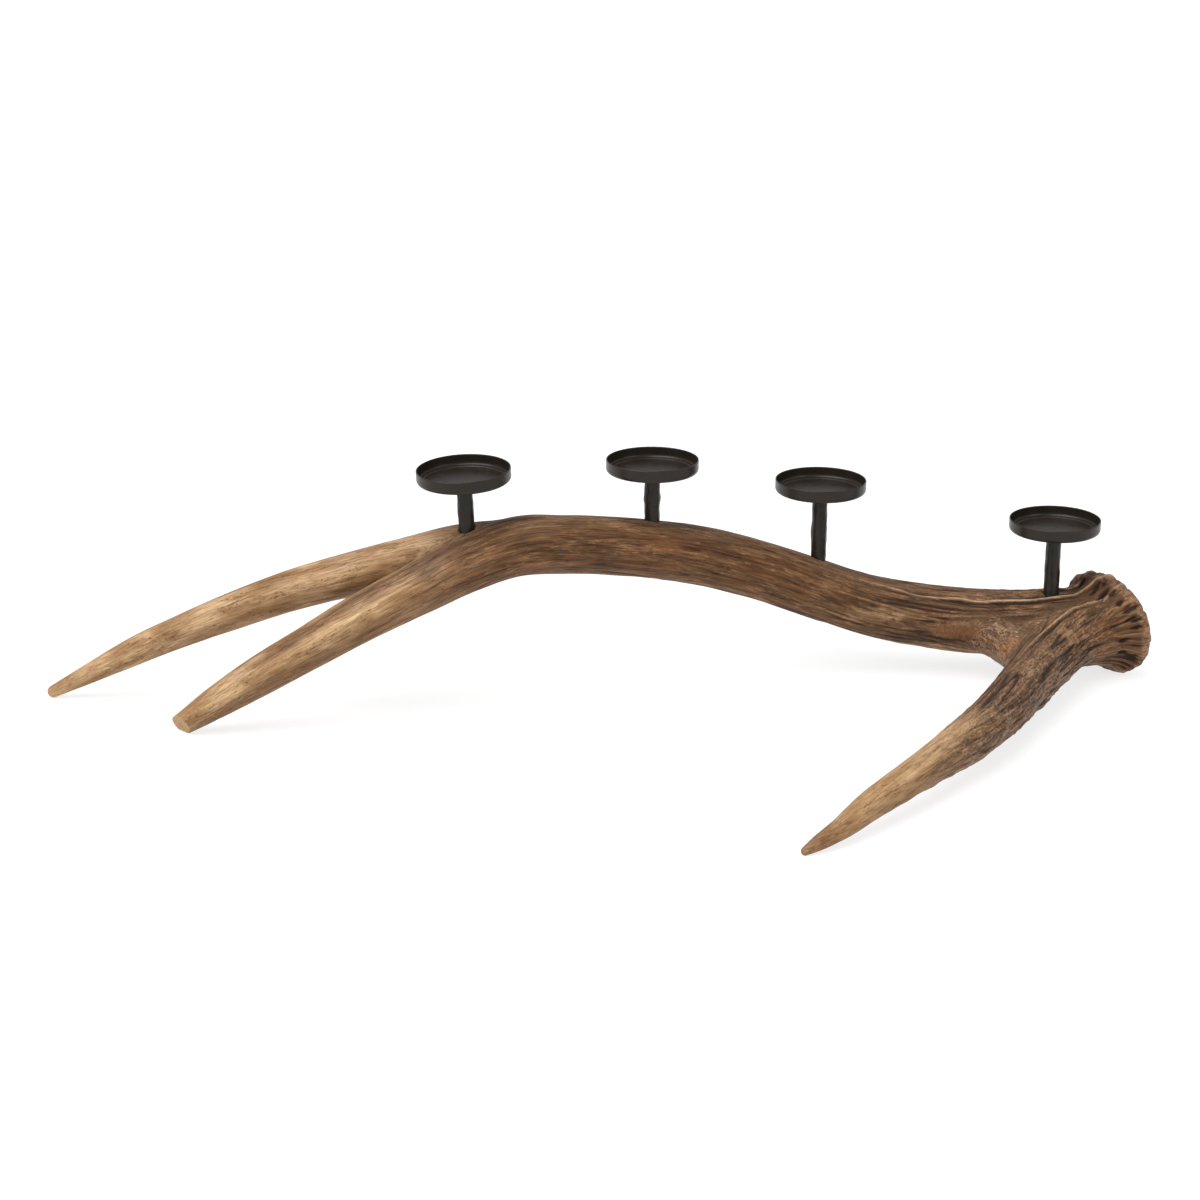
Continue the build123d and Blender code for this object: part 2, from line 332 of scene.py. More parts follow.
EDGE_DIRECTIONS = np.array([(1, 1, 0), (-1, 1, 0), (1, -1, 0), (-1, -1, 0), (1, 0, 1), (-1, 0, 1), (1, 0, -1),
                            (-1, 0, -1), (0, 1, 1), (0, -1, 1), (0, 1, -1), (0, -1, -1)], float)


def noise(at, seed):
    """Gradient noise, about -1 to 1. Each corner of the unit cell round a point gets one of twelve directions, by
    mixing its whole coordinates with large primes. The direction is dotted with the offset to the point, and the eight
    results are blended with 6t^5 - 15t^4 + 10t^3."""
    cell = np.floor(at).astype(np.int64)
    part = at - cell
    ease = part**3 * (part * (part * 6 - 15) + 10)
    total = np.zeros(len(at))
    for corner in np.ndindex(2, 2, 2):
        x, y, z = (cell + corner).T
        mixed = (x * 73856093) ^ (y * 19349663) ^ (z * 83492791) ^ (seed * 2654435761)
        mixed = ((mixed ^ (mixed >> 13)) * 1274126177) & 0x7FFFFFFF
        direction = EDGE_DIRECTIONS[(mixed ^ (mixed >> 11)) % 12]
        weight = np.prod(np.where(corner, ease, 1 - ease), axis=1)
        total += weight * np.einsum("ij,ij->i", direction, part - corner)
    return total


def step_up(value, low, high):
    """0 below low, 1 above high, and 3t^2 - 2t^3 between."""
    t = np.clip((value - low) / (high - low), 0, 1)
    return t * t * (3 - 2 * t)


def channel(value, width):
    """A groove along each line where a noise changes sign: 1 on the line, falling off as exp(-(value / width)^2)."""
    return np.exp(-(value / width)**2)


def limb_grain(place, start):
    """A place on a limb unrolled as length from a start, and two coordinates round it at the limb's radius, mm."""
    return np.stack([place.length + start, place.radius * np.cos(place.angle), place.radius * np.sin(place.angle)],
                    axis=1)


def rib(place, course, width, aside=0.0):
    """A listed rib or groove: its angle in degrees and its height are given at lengths along the limb, and it falls off
    sideways as a bell of this width, mm. It can be set aside by so many mm."""
    lengths, angles, heights = smooth_outline(np.array(course, float), 3.0).T
    across = (place.angle - np.radians(np.interp(place.length, lengths, angles)) + np.pi) % (2 * np.pi) - np.pi
    height = np.interp(place.length, lengths, heights, right=0)
    return height * np.exp(-((across * place.radius - aside) / width)**2)


def limb_relief(grain, seed, short):
    """The antler's own surface, each part about 0 to 1: furrows and hairlines that run with the grain and are so many
    times as long as on the beam, lumps and beads."""
    sway = 2.2 * noise(grain / (60 * short, 26, 26), seed)[:, None] * np.array([0, 1, 1])
    furrows = channel(noise((grain + sway) / (110 * short, 5.4, 5.4), seed + 2), 0.12)
    hairlines = channel(noise((grain + sway) / (38 * short, 3.1, 3.1), seed + 3), 0.17)
    lumps = noise(grain / (60, 22, 22), seed + 4) + 0.5 * noise(grain / (26, 11, 11), seed + 5)
    beads = np.maximum(noise(grain / (8, 4.6, 4.6), seed + 6), 0)
    return furrows, hairlines, lumps, beads


# Drilled from above for the posts: foot point and direction of each post's axis, as the posts stand, mm.
POST_FOOT = np.array([(-105.988, 73.690, 149.228), (40.073, 123.550, 140.534), (178.059, 159.550, 96.318),
                      (371.401, 157.050, 65.524)])
POST_AXIS = np.array([(-0.034899, -0.034878, 0.998782), (0, 0, 1), (0.003491, 0, 0.999994), (-0.006981, 0, 0.999976)])
POST_LENGTH = np.array([42.6, 44.3, 61.2, 59.2])
SEAT_RADIUS = 6.55
ROD_HOLE_RADIUS = 3.1
ROD_HOLE_DEPTH = 18.0

# The ribs that stand out in the photograph: length along the limb, angle from its top, height, in mm and degrees.
BEAM_RIB = [
    (0, -12, 1.3), (8, -15, 1.2), (17, -22, 1.1), (43, -29, 1.1), (80, -30.5, 1.0), (100, -35, 0.8), (115, -33, 0.9),
    (135, -36, 0.8), (150, -37, 0.6), (168, -31, 0.7), (215, -29, 0.4), (260, -33, 0.5), (300, -36, 0),
]
BEAM_TOP_RIB = [(0, 14, 1.2), (14, 6, 1.0), (40, 0, 0.5), (90, -6, 0.4), (170, -4, 0.3), (240, -8, 0)]
BEAM_LOW_RIB = [
    (0, -52, 0.9), (30, -56, 0.6), (60, -58, 0.5), (105, -64, 0.7), (140, -72, 0.4), (190, -66, 0.5), (260, -70, 0),
]
BROW_RIB = [
    (0, -22, 0.8), (6, -15, 0.9), (25, 0, 0.9), (51, 10, 0.9), (77, 19, 0.8), (100, 20, 0.6), (135, 26, 0.3),
    (175, 24, 0),
]
BROW_MIDDLE_RIB = [(0, -72, 0), (40, -60, 0.4), (90, -42, 0.3), (150, -34, 0.4), (220, -36, 0.4), (280, -30, 0)]
FRONT_TINE_RIDGE = [(500, -30, 0), (560, -24, 0.6), (640, -20, 0.8), (740, -10, 0.6), (800, -10, 0)]
REAR_TINE_RIDGE = [(0, -20, 0), (90, -30, 0.5), (200, -32, 0.7), (330, -28, 0.5), (410, -20, 0)]
# hollows behind the burr's rim: place along its axis, angle round it, half length, half width, depth
BURR_PITS = [
    (-6.5, 9, 2.2, 2.0, 1.6), (-8.1, 25, 4, 1.6, 1.8), (-9.3, 41, 2.4, 1.8, 2.0), (-5, 54, 6, 1.5, 2.0),
    (-5.3, 68, 3.5, 1.4, 1.8), (-6.3, 76, 3.5, 1.4, 1.8), (-16, 91, 4, 2.0, 2.2), (-15.8, 112, 4.2, 2.4, 2.4),
    (-14, 148, 2, 1.8, 1.6), (-12.3, 2, 6, 2.0, 1.2), (-12.8, 17, 6, 1.8, 1.2), (-8, -26, 6, 2.2, 1.2),
]
# swellings and hollows of the limbs: limb (beam, rear, brow), length along it, spread, the angle they face, height
SWELLS = [
    (0, 238, 26, -125, 1.2), (0, 545, 35, -125, 1.2), (1, 355, 25, 20, 0.9), (2, 162, 22, -115, -1.3),
    (2, 262, 30, -115, 1.5), (2, 305, 26, 100, -1.3),
]
SEAT_COLLARS = [0, 0, 0, 1.7]    # how far the antler swells round each post's foot, mm


def antler_relief(points):
    """Height of the surface over the smooth limbs, in mm, and the masks that the stain follows."""
    places = place_on_antler(points)
    beam, rear, brow, _, _, burr = places
    _, out, shares = blend_gaps(places)
    limb_shares = shares[:5] / np.maximum(shares[:5].sum(0), 1e-9)
    grains = [limb_grain(place, start) for place, start in zip(places[:5], (0, REAR_TINE_START, 900, 1400, 900))]
    reliefs = [limb_relief(grain, 11 + 20 * i, 1.0 if i < 3 else 0.16) for i, grain in enumerate(grains)]

    # how strongly each kind of relief stands on each limb, mm, at lengths along it
    even = np.ones(len(points))
    under_brow = step_up(np.cos(brow.angle + np.radians(75)), 0.1, 0.8)
    furrowing = [np.interp(beam.length, [0, 60, 220, 420, 520, 600, 720, 850],
                           [0.9, 0.9, 0.68, 0.6, 0.62, 0.4, 0.25, 0.1]),
                 np.interp(rear.length, [0, 120, 300, 430], [0.35, 0.25, 0.18, 0.1]),
                 np.interp(brow.length, [0, 80, 220, 330, 440], [0.8, 0.8, 0.6, 0.3, 0.1]), 0.3 * even, 0.3 * even]
    lumping = [np.interp(beam.length, [0, 420, 600, 850], [0.8, 0.7, 0.5, 0.3]),
               np.interp(rear.length, [0, 430], [0.5, 0.25]),
               np.interp(brow.length, [0, 300, 440], [0.8, 0.6, 0.2]), 0.4 * even, 0.4 * even]
    beading = [np.interp(beam.length, [0, 60, 120, 200], [0.2, 0.45, 0.3, 0.05]), 0 * even,
               np.interp(brow.length, [0, 60, 110, 260, 340], [0.2, 0.5, 0.6, 0.5, 0.0]) * (0.6 + 0.8 * under_brow),
               0.5 * even, 0.5 * even]
    height = np.zeros(len(points))
    groove = np.zeros(len(points))
    crest = np.zeros(len(points))
    strengths = zip(limb_shares, reliefs, furrowing, lumping, beading)
    for share, (furrows, hairlines, lumps, beads), deep, lumpy, beaded in strengths:
        height += share * (0.8 * lumpy * lumps - deep * (furrows + 0.4 * hairlines) + 1.5 * beaded * (beads - 0.15))
        groove += share * np.clip(deep * 1.25, 0.1, 1) * (0.75 * furrows + 0.4 * hairlines)
        crest += share * (0.5 * beaded * beads + 0.1 * np.maximum(lumps, 0))

    for limb, middle, spread, toward, high in SWELLS:
        place = places[limb]
        facing = step_up(np.cos(place.angle - np.radians(toward)), 0.1, 0.9)
        height += high * limb_shares[limb] * np.exp(-((place.length - middle) / spread)**2) * facing

    # the brow tine's under side is knobbly
    knobs = noise(grains[2] / (15, 9, 9), 77) + 0.15
    height += limb_shares[2] * under_brow * np.interp(brow.length, [50, 110, 330, 400], [0, 1.9, 1.5, 0]) * knobs

    # listed ribs, each with a groove close under it
    ribs = np.zeros(len(points))
    rib_height = np.zeros(len(points))
    for place, share, course in ((beam, 0, BEAM_RIB), (beam, 0, BEAM_TOP_RIB), (beam, 0, BEAM_LOW_RIB),
                                 (brow, 2, BROW_RIB), (brow, 2, BROW_MIDDLE_RIB)):
        ridge = rib(place, course, 1.0) * limb_shares[share]
        below = rib(place, course, 1.2, -2.5) * limb_shares[share]
        rib_height += 1.3 * ridge - 1.1 * below
        groove = np.maximum(groove * (1 - 0.95 * np.minimum(1.2 * ridge, 1)), 1.1 * below)
        ribs = np.maximum(ribs, ridge)
    for place, share, course in ((beam, 0, FRONT_TINE_RIDGE), (rear, 1, REAR_TINE_RIDGE)):
        height += rib(place, course, 4.5) * limb_shares[share]

    # flutes fan out over the burr's flare, deepen into pits behind the rim and notch the rim into uneven lobes
    spin = np.stack([np.cos(burr.angle), np.sin(burr.angle), 0 * burr.angle], axis=1)
    drift = burr.length[:, None] * [[0, 0, 1.0]]
    turn = burr.angle + 0.17 * noise(spin * 2.1 + drift / 50, 91) + 0.05 * noise(spin * 6 + drift / 9, 97)
    gutter = np.exp(-((1 + np.cos(26 * turn)) / 0.42)**2)
    lobes = np.abs(np.sin(12 * turn + 1.5 * noise(spin * 3, 90)))
    strength = np.clip(0.5 + 2.3 * noise(spin * 5.3, 93), 0.05, 1.4)
    pit_middle = -8.0 + 5.0 * noise(spin * 5.1, 94)
    pits = 0.6 * np.exp(-((1 + np.cos(26 * turn)) / 0.6)**2) * strength * np.exp(-((burr.length - pit_middle) / 3.6)**4)
    for place, around, long, wide, deep in BURR_PITS:
        turned = (burr.angle - np.radians(around) + np.pi) % (2 * np.pi) - np.pi
        aside = turned * burr.reach + 0.8 * noise(points / 3, 92)
        pits = np.maximum(pits, 0.42 * deep * np.exp(-(((burr.length - place) / long)**2 + (aside / wide)**2)**2))
    near_burr = (1 - step_up(burr.gap, 7, 16)) * np.where(burr.on_face, 0, 1)
    on_flare = step_up(burr.length, -46, -16) * near_burr
    on_rim = step_up(burr.length, -7, -3) * near_burr
    fine = 0.28 * np.cos(61 * turn) * step_up(burr.length, -34, -18) * (1 - on_rim)
    height = height * (1 - 0.6 * step_up(burr.length, -30, -10) * near_burr)
    height += on_flare * (1 - on_rim) * (-1.1 * gutter * np.clip(strength, 0.35, 1) + fine) - 2.6 * pits * near_burr
    notches = 1.8 * (lobes**0.5 - 0.8) * np.clip(strength + 0.3, 0.4, 1.2)
    notches *= 1 - 0.8 * np.exp(-((burr.angle + 0.45) / 0.4)**2)
    height += on_rim * (1.2 * noise(points / 7.0, 98) + 0.5 * noise(points / 3.2, 100) + notches
                        - 1.7 * np.exp(-((burr.angle - 0.3) / 0.5)**2)
                        + 1.6 * np.exp(-((burr.angle + 0.75) / 0.25)**2))
    cracks = channel(noise(points / 3.4, 99), 0.09)
    groove = groove * (1 - 0.6 * on_flare) + on_flare * 0.55 * gutter * np.clip(strength, 0.2, 1) * (1 - on_rim)
    groove += 1.5 * pits * near_burr + on_rim * (0.5 * (1 - step_up(lobes, 0.0, 0.35)) * strength + 0.35 * cracks)
    face = np.where(burr.on_face, 1.0, 0.0) * shares[5]
    height += face * (0.7 * noise(points / 3.2, 95) + 0.6 * noise(points / 9.0, 96))

    # the surface is calm where the posts stand
    for foot, axis, collar in zip(POST_FOOT, POST_AXIS, SEAT_COLLARS):
        away = points - foot
        reach = np.linalg.norm(away - (away @ axis)[:, None] * axis, axis=1)
        above = away[:, 2] > -8
        height = np.where(above, height * step_up(reach, 4.5, 8.5) + collar * (1 - step_up(reach, 8, 22)), height)
        rib_height = np.where(above, rib_height * np.where(rib_height < 0, step_up(reach, 6, 9), 1), rib_height)
    height += rib_height * np.where(burr.on_face, 0, 1)
    height[on_saw_cut(points)] = 0
    grain = sum(share[:, None] * grain for share, grain in zip(limb_shares, grains))

    # stain gathers at the fork, and pearls stand on the brow tine and in the crotch
    fork = 4 * shares[0] * shares[1] * step_up(beam.length, 470, 520)
    groove += 0.55 * fork * reliefs[0][1]
    pearl = sum(share * np.minimum(1.7 * beaded, 1) for share, beaded in zip(limb_shares, beading))
    return SimpleNamespace(places=places, shares=shares, limb_shares=limb_shares, out=out, height=height,
                           on_rim=on_rim, face=face, groove=np.clip(groove, 0, 1), crest=np.clip(crest, 0, 1),
                           ribs=ribs, pearl=pearl * (1 - 0.8 * on_flare), grain=grain)


relief = antler_relief(points)
points = lean_saw_cut(points + relief.height[:, None] * relief.out)
points = np.clip(points, np.array(cad_box[0]) / MM, np.array(cad_box[1]) / MM)
write_points(antler.data, points)


def turned_rings(cup, outline, segments):
    """Rings of an outline (height over the post's foot, radius) turned round the axis of one cup."""
    axis = POST_AXIS[cup]
    side = np.cross(axis, [0, 1, 0])
    side /= np.linalg.norm(side)
    up = np.cross(side, axis)
    outline = np.asarray(outline, float)
    centre = POST_FOOT[cup] + outline[:, :1] * axis
    return ring_points(centre, outline[:, 1], up[None], side[None], segments)


DRILL_TOP = 14.0    # how far the cutter of each seat reaches over the post's foot, mm
for cup in range(4):
    drilled = [(-ROD_HOLE_DEPTH, ROD_HOLE_RADIUS), (0, ROD_HOLE_RADIUS), (0.01, SEAT_RADIUS), (DRILL_TOP, SEAT_RADIUS)]
    ends = [POST_FOOT[cup] + height * POST_AXIS[cup] for height in (-ROD_HOLE_DEPTH, DRILL_TOP)]
    combine(antler, closed_mesh("drill", turned_rings(cup, drilled, 48), ends), "DIFFERENCE")

points = read_points(antler.data)
relief = antler_relief(points)
beam, rear, brow = relief.places[:3]
beam_share, rear_share, brow_share = relief.limb_shares[:3]

# pale is how far the stain is rubbed back: the burr and the beam stay dark, and the tines fade to bone colour
worn_facet = (step_up(np.cos(brow.angle - np.radians(25)), 0.15, 0.75) * step_up(brow.length, 225, 300)
              * (1 - step_up(brow.length, 350, 410)))
pale = (beam_share * np.interp(beam.length, [0, 60, 430, 500, 545, 590, 640, 740, 850],
                               [0.05, 0.08, 0.12, 0.13, 0.22, 0.42, 0.58, 0.69, 0.63])
        + rear_share * np.interp(rear.length, [0, 40, 90, 140, 260, 430], [0.12, 0.33, 0.56, 0.67, 0.8, 1.0])
        + brow_share * (np.interp(brow.length, [0, 120, 240, 300, 350, 410, 445],
                                  [0.04, 0.05, 0.13, 0.38, 0.68, 0.72, 0.45]) + 0.9 * worn_facet)
        + 0.08 * relief.limb_shares[3:].sum(0))
pale += 0.15 * relief.on_rim * relief.shares[5] + 0.2 * relief.face
# the front tine has a light band along its front, a dark one above and a brown under side
LIGHT_BAND = [(540, -66, 0), (600, -62, 1), (720, -62, 1), (800, -55, 0.6), (850, -55, 0)]
DARK_BAND = [(530, -22, 0), (575, -16, 1), (655, -22, 1), (700, -38, 0.8), (760, -45, 0)]
UNDER_BAND = [(570, -130, 0), (610, -132, 1), (800, -130, 1), (850, -130, 0.5)]
pale += beam_share * (0.3 * rib(beam, LIGHT_BAND, 6.5) - 0.45 * rib(beam, DARK_BAND, 4.5)
                      - 0.2 * rib(beam, UNDER_BAND, 9))


def mark(middle, reach, edge=0.6):
    """A mark: 1 in its middle and 0 past its reach along x, y and z, mm, with a ragged edge."""
    away = np.linalg.norm((points - middle) / reach, axis=1)
    return 1 - step_up(away + 0.5 * noise(points / 4.5, 131), edge, 1.1)


bare = mark((379, 101, 54), (11, 10, 9))
pale += 0.5 * bare + 0.4 * mark((228, 133, 61), (34, 14, 10), 0.3) + 0.3 * mark((300, 134, 54), (16, 12, 4))
pale += 0.95 * mark((286, 144, 24), (64, 14, 9), 0.35)
rust = (mark((290, 132, 46), (24, 14, 8)) + mark((331, 103, 44), (9, 10, 14)) + 0.6 * mark((40, 100, 128), (30, 12, 6))
        + 0.5 * mark((-60, 66, 128), (35, 12, 7)))
smoke = (0.9 * mark((366, 73, 48), (13, 18, 10)) + 0.7 * mark((300, -28, 45), (16, 18, 12))
         + 0.75 * mark((337, 8, 42), (16, 18, 12)))

# the drilled seats are bare resin, with chips round their edges
drilled = np.zeros(len(points))
chips = np.zeros(len(points))
for foot, axis in zip(POST_FOOT, POST_AXIS):
    away = points - foot
    along = away @ axis
    reach = np.linalg.norm(away - along[:, None] * axis, axis=1)
    drilled[(reach < SEAT_RADIUS + 0.02) & (along < 0.3) & (along > -ROD_HOLE_DEPTH - 0.1)] = 1
    ragged = step_up(noise(points / 2.6, 141), 0.18, 0.35)
    chips += ragged * (reach > SEAT_RADIUS - 0.1) * (1 - step_up(reach, 7.4, 8.6)) * step_up(along, 2.5, 3.5)

groove = relief.groove * (1 - 0.7 * np.clip(rust + bare, 0, 1))
groove *= 1 - 0.35 * beam_share * step_up(beam.length, 150, 230)
crotch = np.maximum(relief.limb_shares[3:].sum(0), mark((318, 108, 48), (20, 12, 12)))
# faces that look up are painted lighter and greyer: a painted sheen from the top light
top_sheen = step_up(relief.out[:, 2], 0.45, 0.95)
antler_masks = {
    "groove": groove,
    "worms": crotch * (1 - np.clip(rust, 0, 1)),
    "worn": worn_facet * brow_share + 0.7 * rear_share * step_up(rear.length, 370, 430),
    "rim": relief.on_rim * relief.shares[5],
    "crest": relief.crest,
    "ribs": relief.ribs,
    "pearl": relief.pearl,
    "pale": pale,
    # grey: the painted sheen on faces that look up, and a greyer tone along the brow tine
    "grey": np.maximum(top_sheen, brow_share * np.interp(brow.length, [20, 70, 260, 320], [0.05, 0.3, 0.3, 0.05])),
    "rust": rust,
    "smoke": smoke,
    "drilled": np.maximum(drilled, 0.8 * np.clip(chips, 0, 1)),
    "sawn": on_saw_cut(points, SAW_LEAN).astype(float),
}


def add_values(mesh, name, values):
    """Stores one number, or one vector, for each point of the mesh."""
    kind = "FLOAT" if values.ndim == 1 else "FLOAT_VECTOR"
    layer = mesh.attributes.new(name, kind, "POINT")
    layer.data.foreach_set("value" if values.ndim == 1 else "vector", np.ravel(values).astype(np.float32))


def to_metres(mesh):
    """Turns a mesh from millimetres to metres, with smooth shading."""
    write_points(mesh, read_points(mesh) * MM)
    mesh.polygons.foreach_set("use_smooth", np.ones(len(mesh.polygons), bool))
    mesh.update()


for name, values in antler_masks.items():
    add_values(antler.data, name, np.clip(values, 0, 1))
add_values(antler.data, "grain", relief.grain * MM)
antler.data.polygons.foreach_set("material_index", np.zeros(len(antler.data.polygons), int))
to_metres(antler.data)


def linear(colour):
    """An sRGB hex colour as the linear red, green, blue and alpha that Blender works in."""
    value = np.array([int(colour[i:i + 2], 16) / 255 for i in (1, 3, 5)])
    value = np.where(value <= 0.04045, value / 12.92, ((value + 0.055) / 1.055) ** 2.4)
    return (*value, 1.0)


def set_inputs(node, inputs):
    """Gives a node's sockets, by name or in order, a value or another node's output."""
    for socket, value in inputs.items() if isinstance(inputs, dict) else enumerate(inputs):
        if isinstance(value, bpy.types.NodeSocket):
            node.id_data.links.new(value, node.inputs[socket])
        else:
            node.inputs[socket].default_value = value


def add_node(tree, kind, inputs=(), output=0, **settings):
    """Adds a node with its properties and inputs, and gives one of its outputs."""
    made = tree.nodes.new("ShaderNode" + kind)
    for name, value in settings.items():
        setattr(made, name, value)
    set_inputs(made, inputs)
    return made.outputs[output]


def new_material(name):
    """A material with a Principled BSDF, and its tree."""
    made = bpy.data.materials.new(name)
    made.use_nodes = True
    return made, made.node_tree, made.node_tree.nodes["Principled BSDF"]


def lay_coats(tree, colour, source, coats):
    """Lays coats over a colour. A coat is a tone, as hex or a node's output, and the parts whose product is its
    strength: a source by name, as it is, or ranged from two of its levels to 0 and 1 or to two other strengths."""
    for tone, *parts in coats:
        strengths = [add_node(tree, "MapRange", [source[name], *levels]) if levels else source[name]
                     for name, *levels in parts]
        strength = reduce(lambda a, b: add_node(tree, "Math", [a, b], operation="MULTIPLY"), strengths)
        tone = linear(tone) if isinstance(tone, str) else tone
        colour = add_node(tree, "Mix", {0: strength, 6: colour, 7: tone}, 2, data_type="RGBA")
    return colour


def stained_cast_resin():
    """Polyester casting resin with rubbed brown stain and wax: dark in the grooves, bone on ridges and tips, with a
    soft sheen."""
    made, tree, shader = new_material("stained_cast_resin")
    add = partial(add_node, tree)
    place = add("TexCoord", output="Object")
    grain = add("Attribute", output="Vector", attribute_name="grain")
    source = {name: add("Attribute", output="Fac", attribute_name=name) for name in antler_masks}

    # noises: width in mm, detail, how many times as long as wide, roughness, and what they run along
    for name, width, detail, stretch, roughness, course in (
            ("streaks", 1.6, 4, 15, 0.65, grain), ("flecks", 1.4, 3, 5.5, 0.65, grain),
            ("pearls", 1.7, 2, 2.4, 0.55, grain), ("specks", 1.5, 1, 2.2, 0.55, grain),
            ("broad", 5.0, 3, 9, 0.55, grain), ("zones", 10.0, 3, 4, 0.55, grain),
            ("mottle", 8.0, 4, 4.5, 0.62, grain), ("smears", 13.0, 4, 3.5, 0.6, grain),
            ("patches", 38.0, 2, 1, 0.55, place), ("rim_mottle", 5.5, 3, 1, 0.55, place),
            ("hairline", 2.5, 2, 18, 0.55, grain), ("wrinkle", 4.4, 1, 2.2, 0.55, grain),
            ("whorl", 3.6, 1, 3.2, 0.55, place)):
        vector = add("Mapping", {"Vector": course, "Scale": (1 / stretch, 1, 1)})
        source[name] = add("TexNoise", {"Vector": vector, "Scale": 1 / (width * MM), "Detail": detail,
                                        "Roughness": roughness})

    # hairlines and worm-like wrinkles run where a noise is near 0.5: how near for a full line, and for none
    for name, full, none in (("hairline", 0.005, 0.028), ("wrinkle", 0.012, 0.06), ("whorl", 0.008, 0.034)):
        off = add("Math", [add("Math", [source[name], 0.5], operation="SUBTRACT")], operation="ABSOLUTE")
        source[name] = add("MapRange", [off, full, none, 1, 0])
    raised = add("Math", [add("MapRange", [source["crest"], 0.06, 0.35, 0, 0.6]),
                          add("MapRange", [source["pearl"], 0.1, 0.9, 0, 0.3])], operation="MAXIMUM")
    wrinkled = add("Math", [source["wrinkle"], raised], operation="MULTIPLY")
    in_crotch = add("MapRange", [source["worms"], 0.2, 1, 0, 0.75])
    whorled = add("Math", [source["whorl"], in_crotch], operation="MULTIPLY")
    source["wormy"] = add("Math", [wrinkled, whorled], operation="MAXIMUM")

    ragged = add("MapRange", [source["broad"], 0.3, 0.7, -0.14, 0.14])
    source["pale"] = add("Math", [source["pale"], ragged], operation="ADD")
    source["stained"] = add("Math", [1, source["pale"]], operation="SUBTRACT")

    # the stained brown: reddish in some places and ashen in others, in soft streaks with tan smudges, and lighter and
    # greyer on faces that look up, which is a painted sheen
    brown = lay_coats(tree, linear("#402713"), source, [
        ("#664323", ("streaks", 0.38, 0.62)),
        ("#6c3f1d", ("patches", 0.42, 0.6), ("broad", 0.35, 0.6, 0, 0.6)),
        ("#58412f", ("zones", 0.5, 0.64), ("broad", 0.6, 0.4, 0, 0.45)),
        ("#85603e", ("mottle", 0.52, 0.64, 0, 0.5)),
        # painted sheen on faces that look up, and the brow tine's greyer tone
        ("#694d37", ("grey",), ("streaks", 0.3, 0.6, 0.3, 0.75)),
        ("#7c4d2b", ("rust",), ("streaks", 0.3, 0.7, 0.6, 1)),
        ("#3a2c24", ("smoke",), ("flecks", 0.3, 0.6, 0.5, 0.85)),
        ("#9c7752", ("flecks", 0.53, 0.61), ("mottle", 0.44, 0.58, 0, 0.6)),
    ])
    # the rubbed bone colour of the tines, with brown patches, faint streaks and clusters of dark specks
    bone = lay_coats(tree, linear("#8a6641"), source, [
        ("#b8966f", ("smears", 0.36, 0.62)),
        ("#805a35", ("mottle", 0.51, 0.63, 0, 0.55)),
        ("#694525", ("streaks", 0.46, 0.34, 0, 0.45)),
        ("#4f321a", ("specks", 0.4, 0.33), ("mottle", 0.46, 0.57, 0, 0.7)),
        ("#cfb18b", ("streaks", 0.5, 0.62), ("smears", 0.5, 0.6, 0, 0.6)),
    ])
    rim = lay_coats(tree, linear("#6a4a31"), source, [("#987556", ("rim_mottle", 0.4, 0.6))])
    # over the brown: bone, the worn facets, the rim, pearls, crests, wrinkles, hairlines, ribs, grooves and bare resin
    colour = lay_coats(tree, brown, source, [
        (bone, ("pale", 0.08, 0.85)),
        ("#b8966f", ("worn",), ("smears", 0.35, 0.62, 0.15, 0.7)),
        (rim, ("rim", 0.2, 1, 0, 0.8)),
        ("#36251a", ("pearl",), ("pearls", 0.47, 0.37, 0, 0.6)),
        ("#785c46", ("pearl",), ("pearls", 0.52, 0.61, 0, 0.45)),
        ("#a07f60", ("crest",), ("flecks", 0.36, 0.54, 0.24, 0.8)),
        ("#b89778", ("wormy",)),
        ("#28180d", ("hairline",), ("stained", 0.1, 0.8, 0.25, 0.55)),
        ("#b29274", ("ribs", 0.25, 0.8), ("flecks", 0.35, 0.55, 0.45, 0.95)),
        ("#1e110a", ("groove", 0.12, 0.85, 0, 0.9)),
        ("#b08c62", ("sawn",), ("mottle", 0.35, 0.6, 0.6, 0.95)),
        ("#c0a880", ("drilled",)),
    ])

    # the wax is duller in the grooves, and the fine relief is a sum of patterns
    wax = add("MapRange", [source["zones"], 0.35, 0.65, 0.4, 0.56])
    roughness = add("Math", [source["groove"], 0.25, wax], operation="MULTIPLY_ADD")
    source["beaded"] = add("Math", [source["pearl"], source["pearls"]], operation="MULTIPLY")
    skin = 0
    for name, height in (("streaks", 0.55), ("flecks", 0.3), ("beaded", 1.1), ("hairline", -0.3), ("wormy", 0.6)):
        skin = add("Math", [source[name], height, skin], operation="MULTIPLY_ADD")
    bump = add("Bump", {"Height": skin, "Strength": 0.9, "Distance": 0.8 * MM})
    set_inputs(shader, {"Base Color": colour, "Roughness": roughness, "Specular IOR Level": 0.2, "Normal": bump})
    return made


antler.data.materials.clear()
antler.data.materials.append(stained_cast_resin())
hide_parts("antler")
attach(antler, "antler")

# ==== Threaded rods ====
# Lengths of M6 zinc-plated threaded rod, glued into the antler. Each stands up the inside of its post and ends in the
# pan's nut. They show only while a cup is lifted off.

ROD_RADIUS = 3.0
THREAD_DEPTH = 0.6
THREAD_PITCH = 1.0
THREAD_FADE = 1.2    # how much of the thread at each end runs out, mm
ROD_SEGMENTS = 36
ROD_SHORT = 1.5    # how far the rod ends below the pan, mm


def placed(made, body, slot, *nodes):
    """Turns an object's mesh to metres, hides the CAD parts that it stands in for, and hangs it on its body."""
    to_metres(made.data)
    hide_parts(*nodes)
    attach(made, body)


